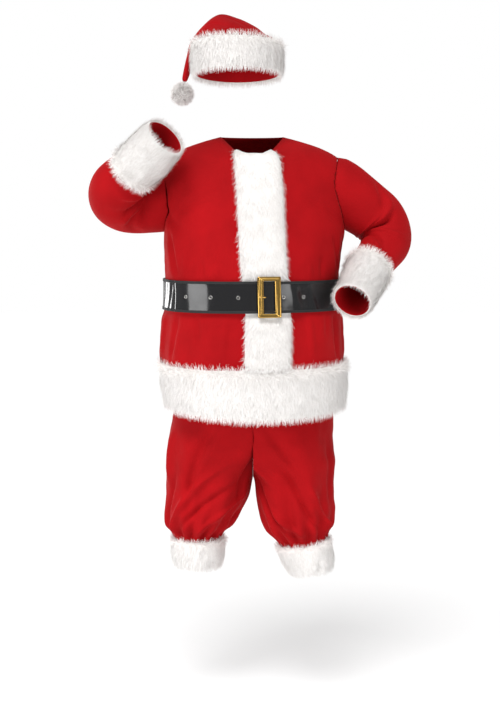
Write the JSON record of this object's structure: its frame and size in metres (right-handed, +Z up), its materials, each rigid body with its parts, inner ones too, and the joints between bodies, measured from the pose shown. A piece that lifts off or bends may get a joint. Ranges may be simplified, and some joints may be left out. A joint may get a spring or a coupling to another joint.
{
  "type": "santa suit: fur-trimmed jacket with its belt, gathered trousers and hat, as worn",
  "caption": "Red velour Santa suit in a worn pose: fur-trimmed jacket with wide black belt and brass buckle, gathered trousers with fur cuffs, fur-brimmed hat.",
  "frame": {"origin": "middle of the neck opening at shoulder height", "axes": "+Z up, the front faces -Y, +X towards the wearer's left arm"},
  "size_m": [0.8622, 0.4475, 1.5068],
  "materials": {
    "red_velour": "matte",
    "white_fur": "matte",
    "black_vinyl": "gloss",
    "black_binding": "matte",
    "brass": "polished",
    "steel": "satin"
  },
  "bodies": {
    "root": {"jacket_front_right": "red_velour", "jacket_front_left": "red_velour", "jacket_back": "red_velour", "sleeve_right": "red_velour", "sleeve_left": "red_velour", "fur_cuff_right": "white_fur", "fur_cuff_left": "white_fur", "fur_front_strip": "white_fur", "fur_hem_band": "white_fur", "belt_strap": "black_vinyl", "belt_binding_top": "black_binding", "belt_binding_bottom": "black_binding", "buckle_frame": "brass", "buckle_prong": "brass", "eyelet_1": "steel", "eyelet_2": "steel", "eyelet_3": "steel", "eyelet_4": "steel", "eyelet_5": "steel", "trouser_front_right": "red_velour", "trouser_back_right": "red_velour", "trouser_front_left": "red_velour", "trouser_back_left": "red_velour", "trouser_waistband": "red_velour", "fur_leg_cuff_right": "white_fur", "fur_leg_cuff_left": "white_fur", "hat_crown": "red_velour", "fur_hat_brim": "white_fur", "hat_pompom": "white_fur"}
  },
  "joints": []
}
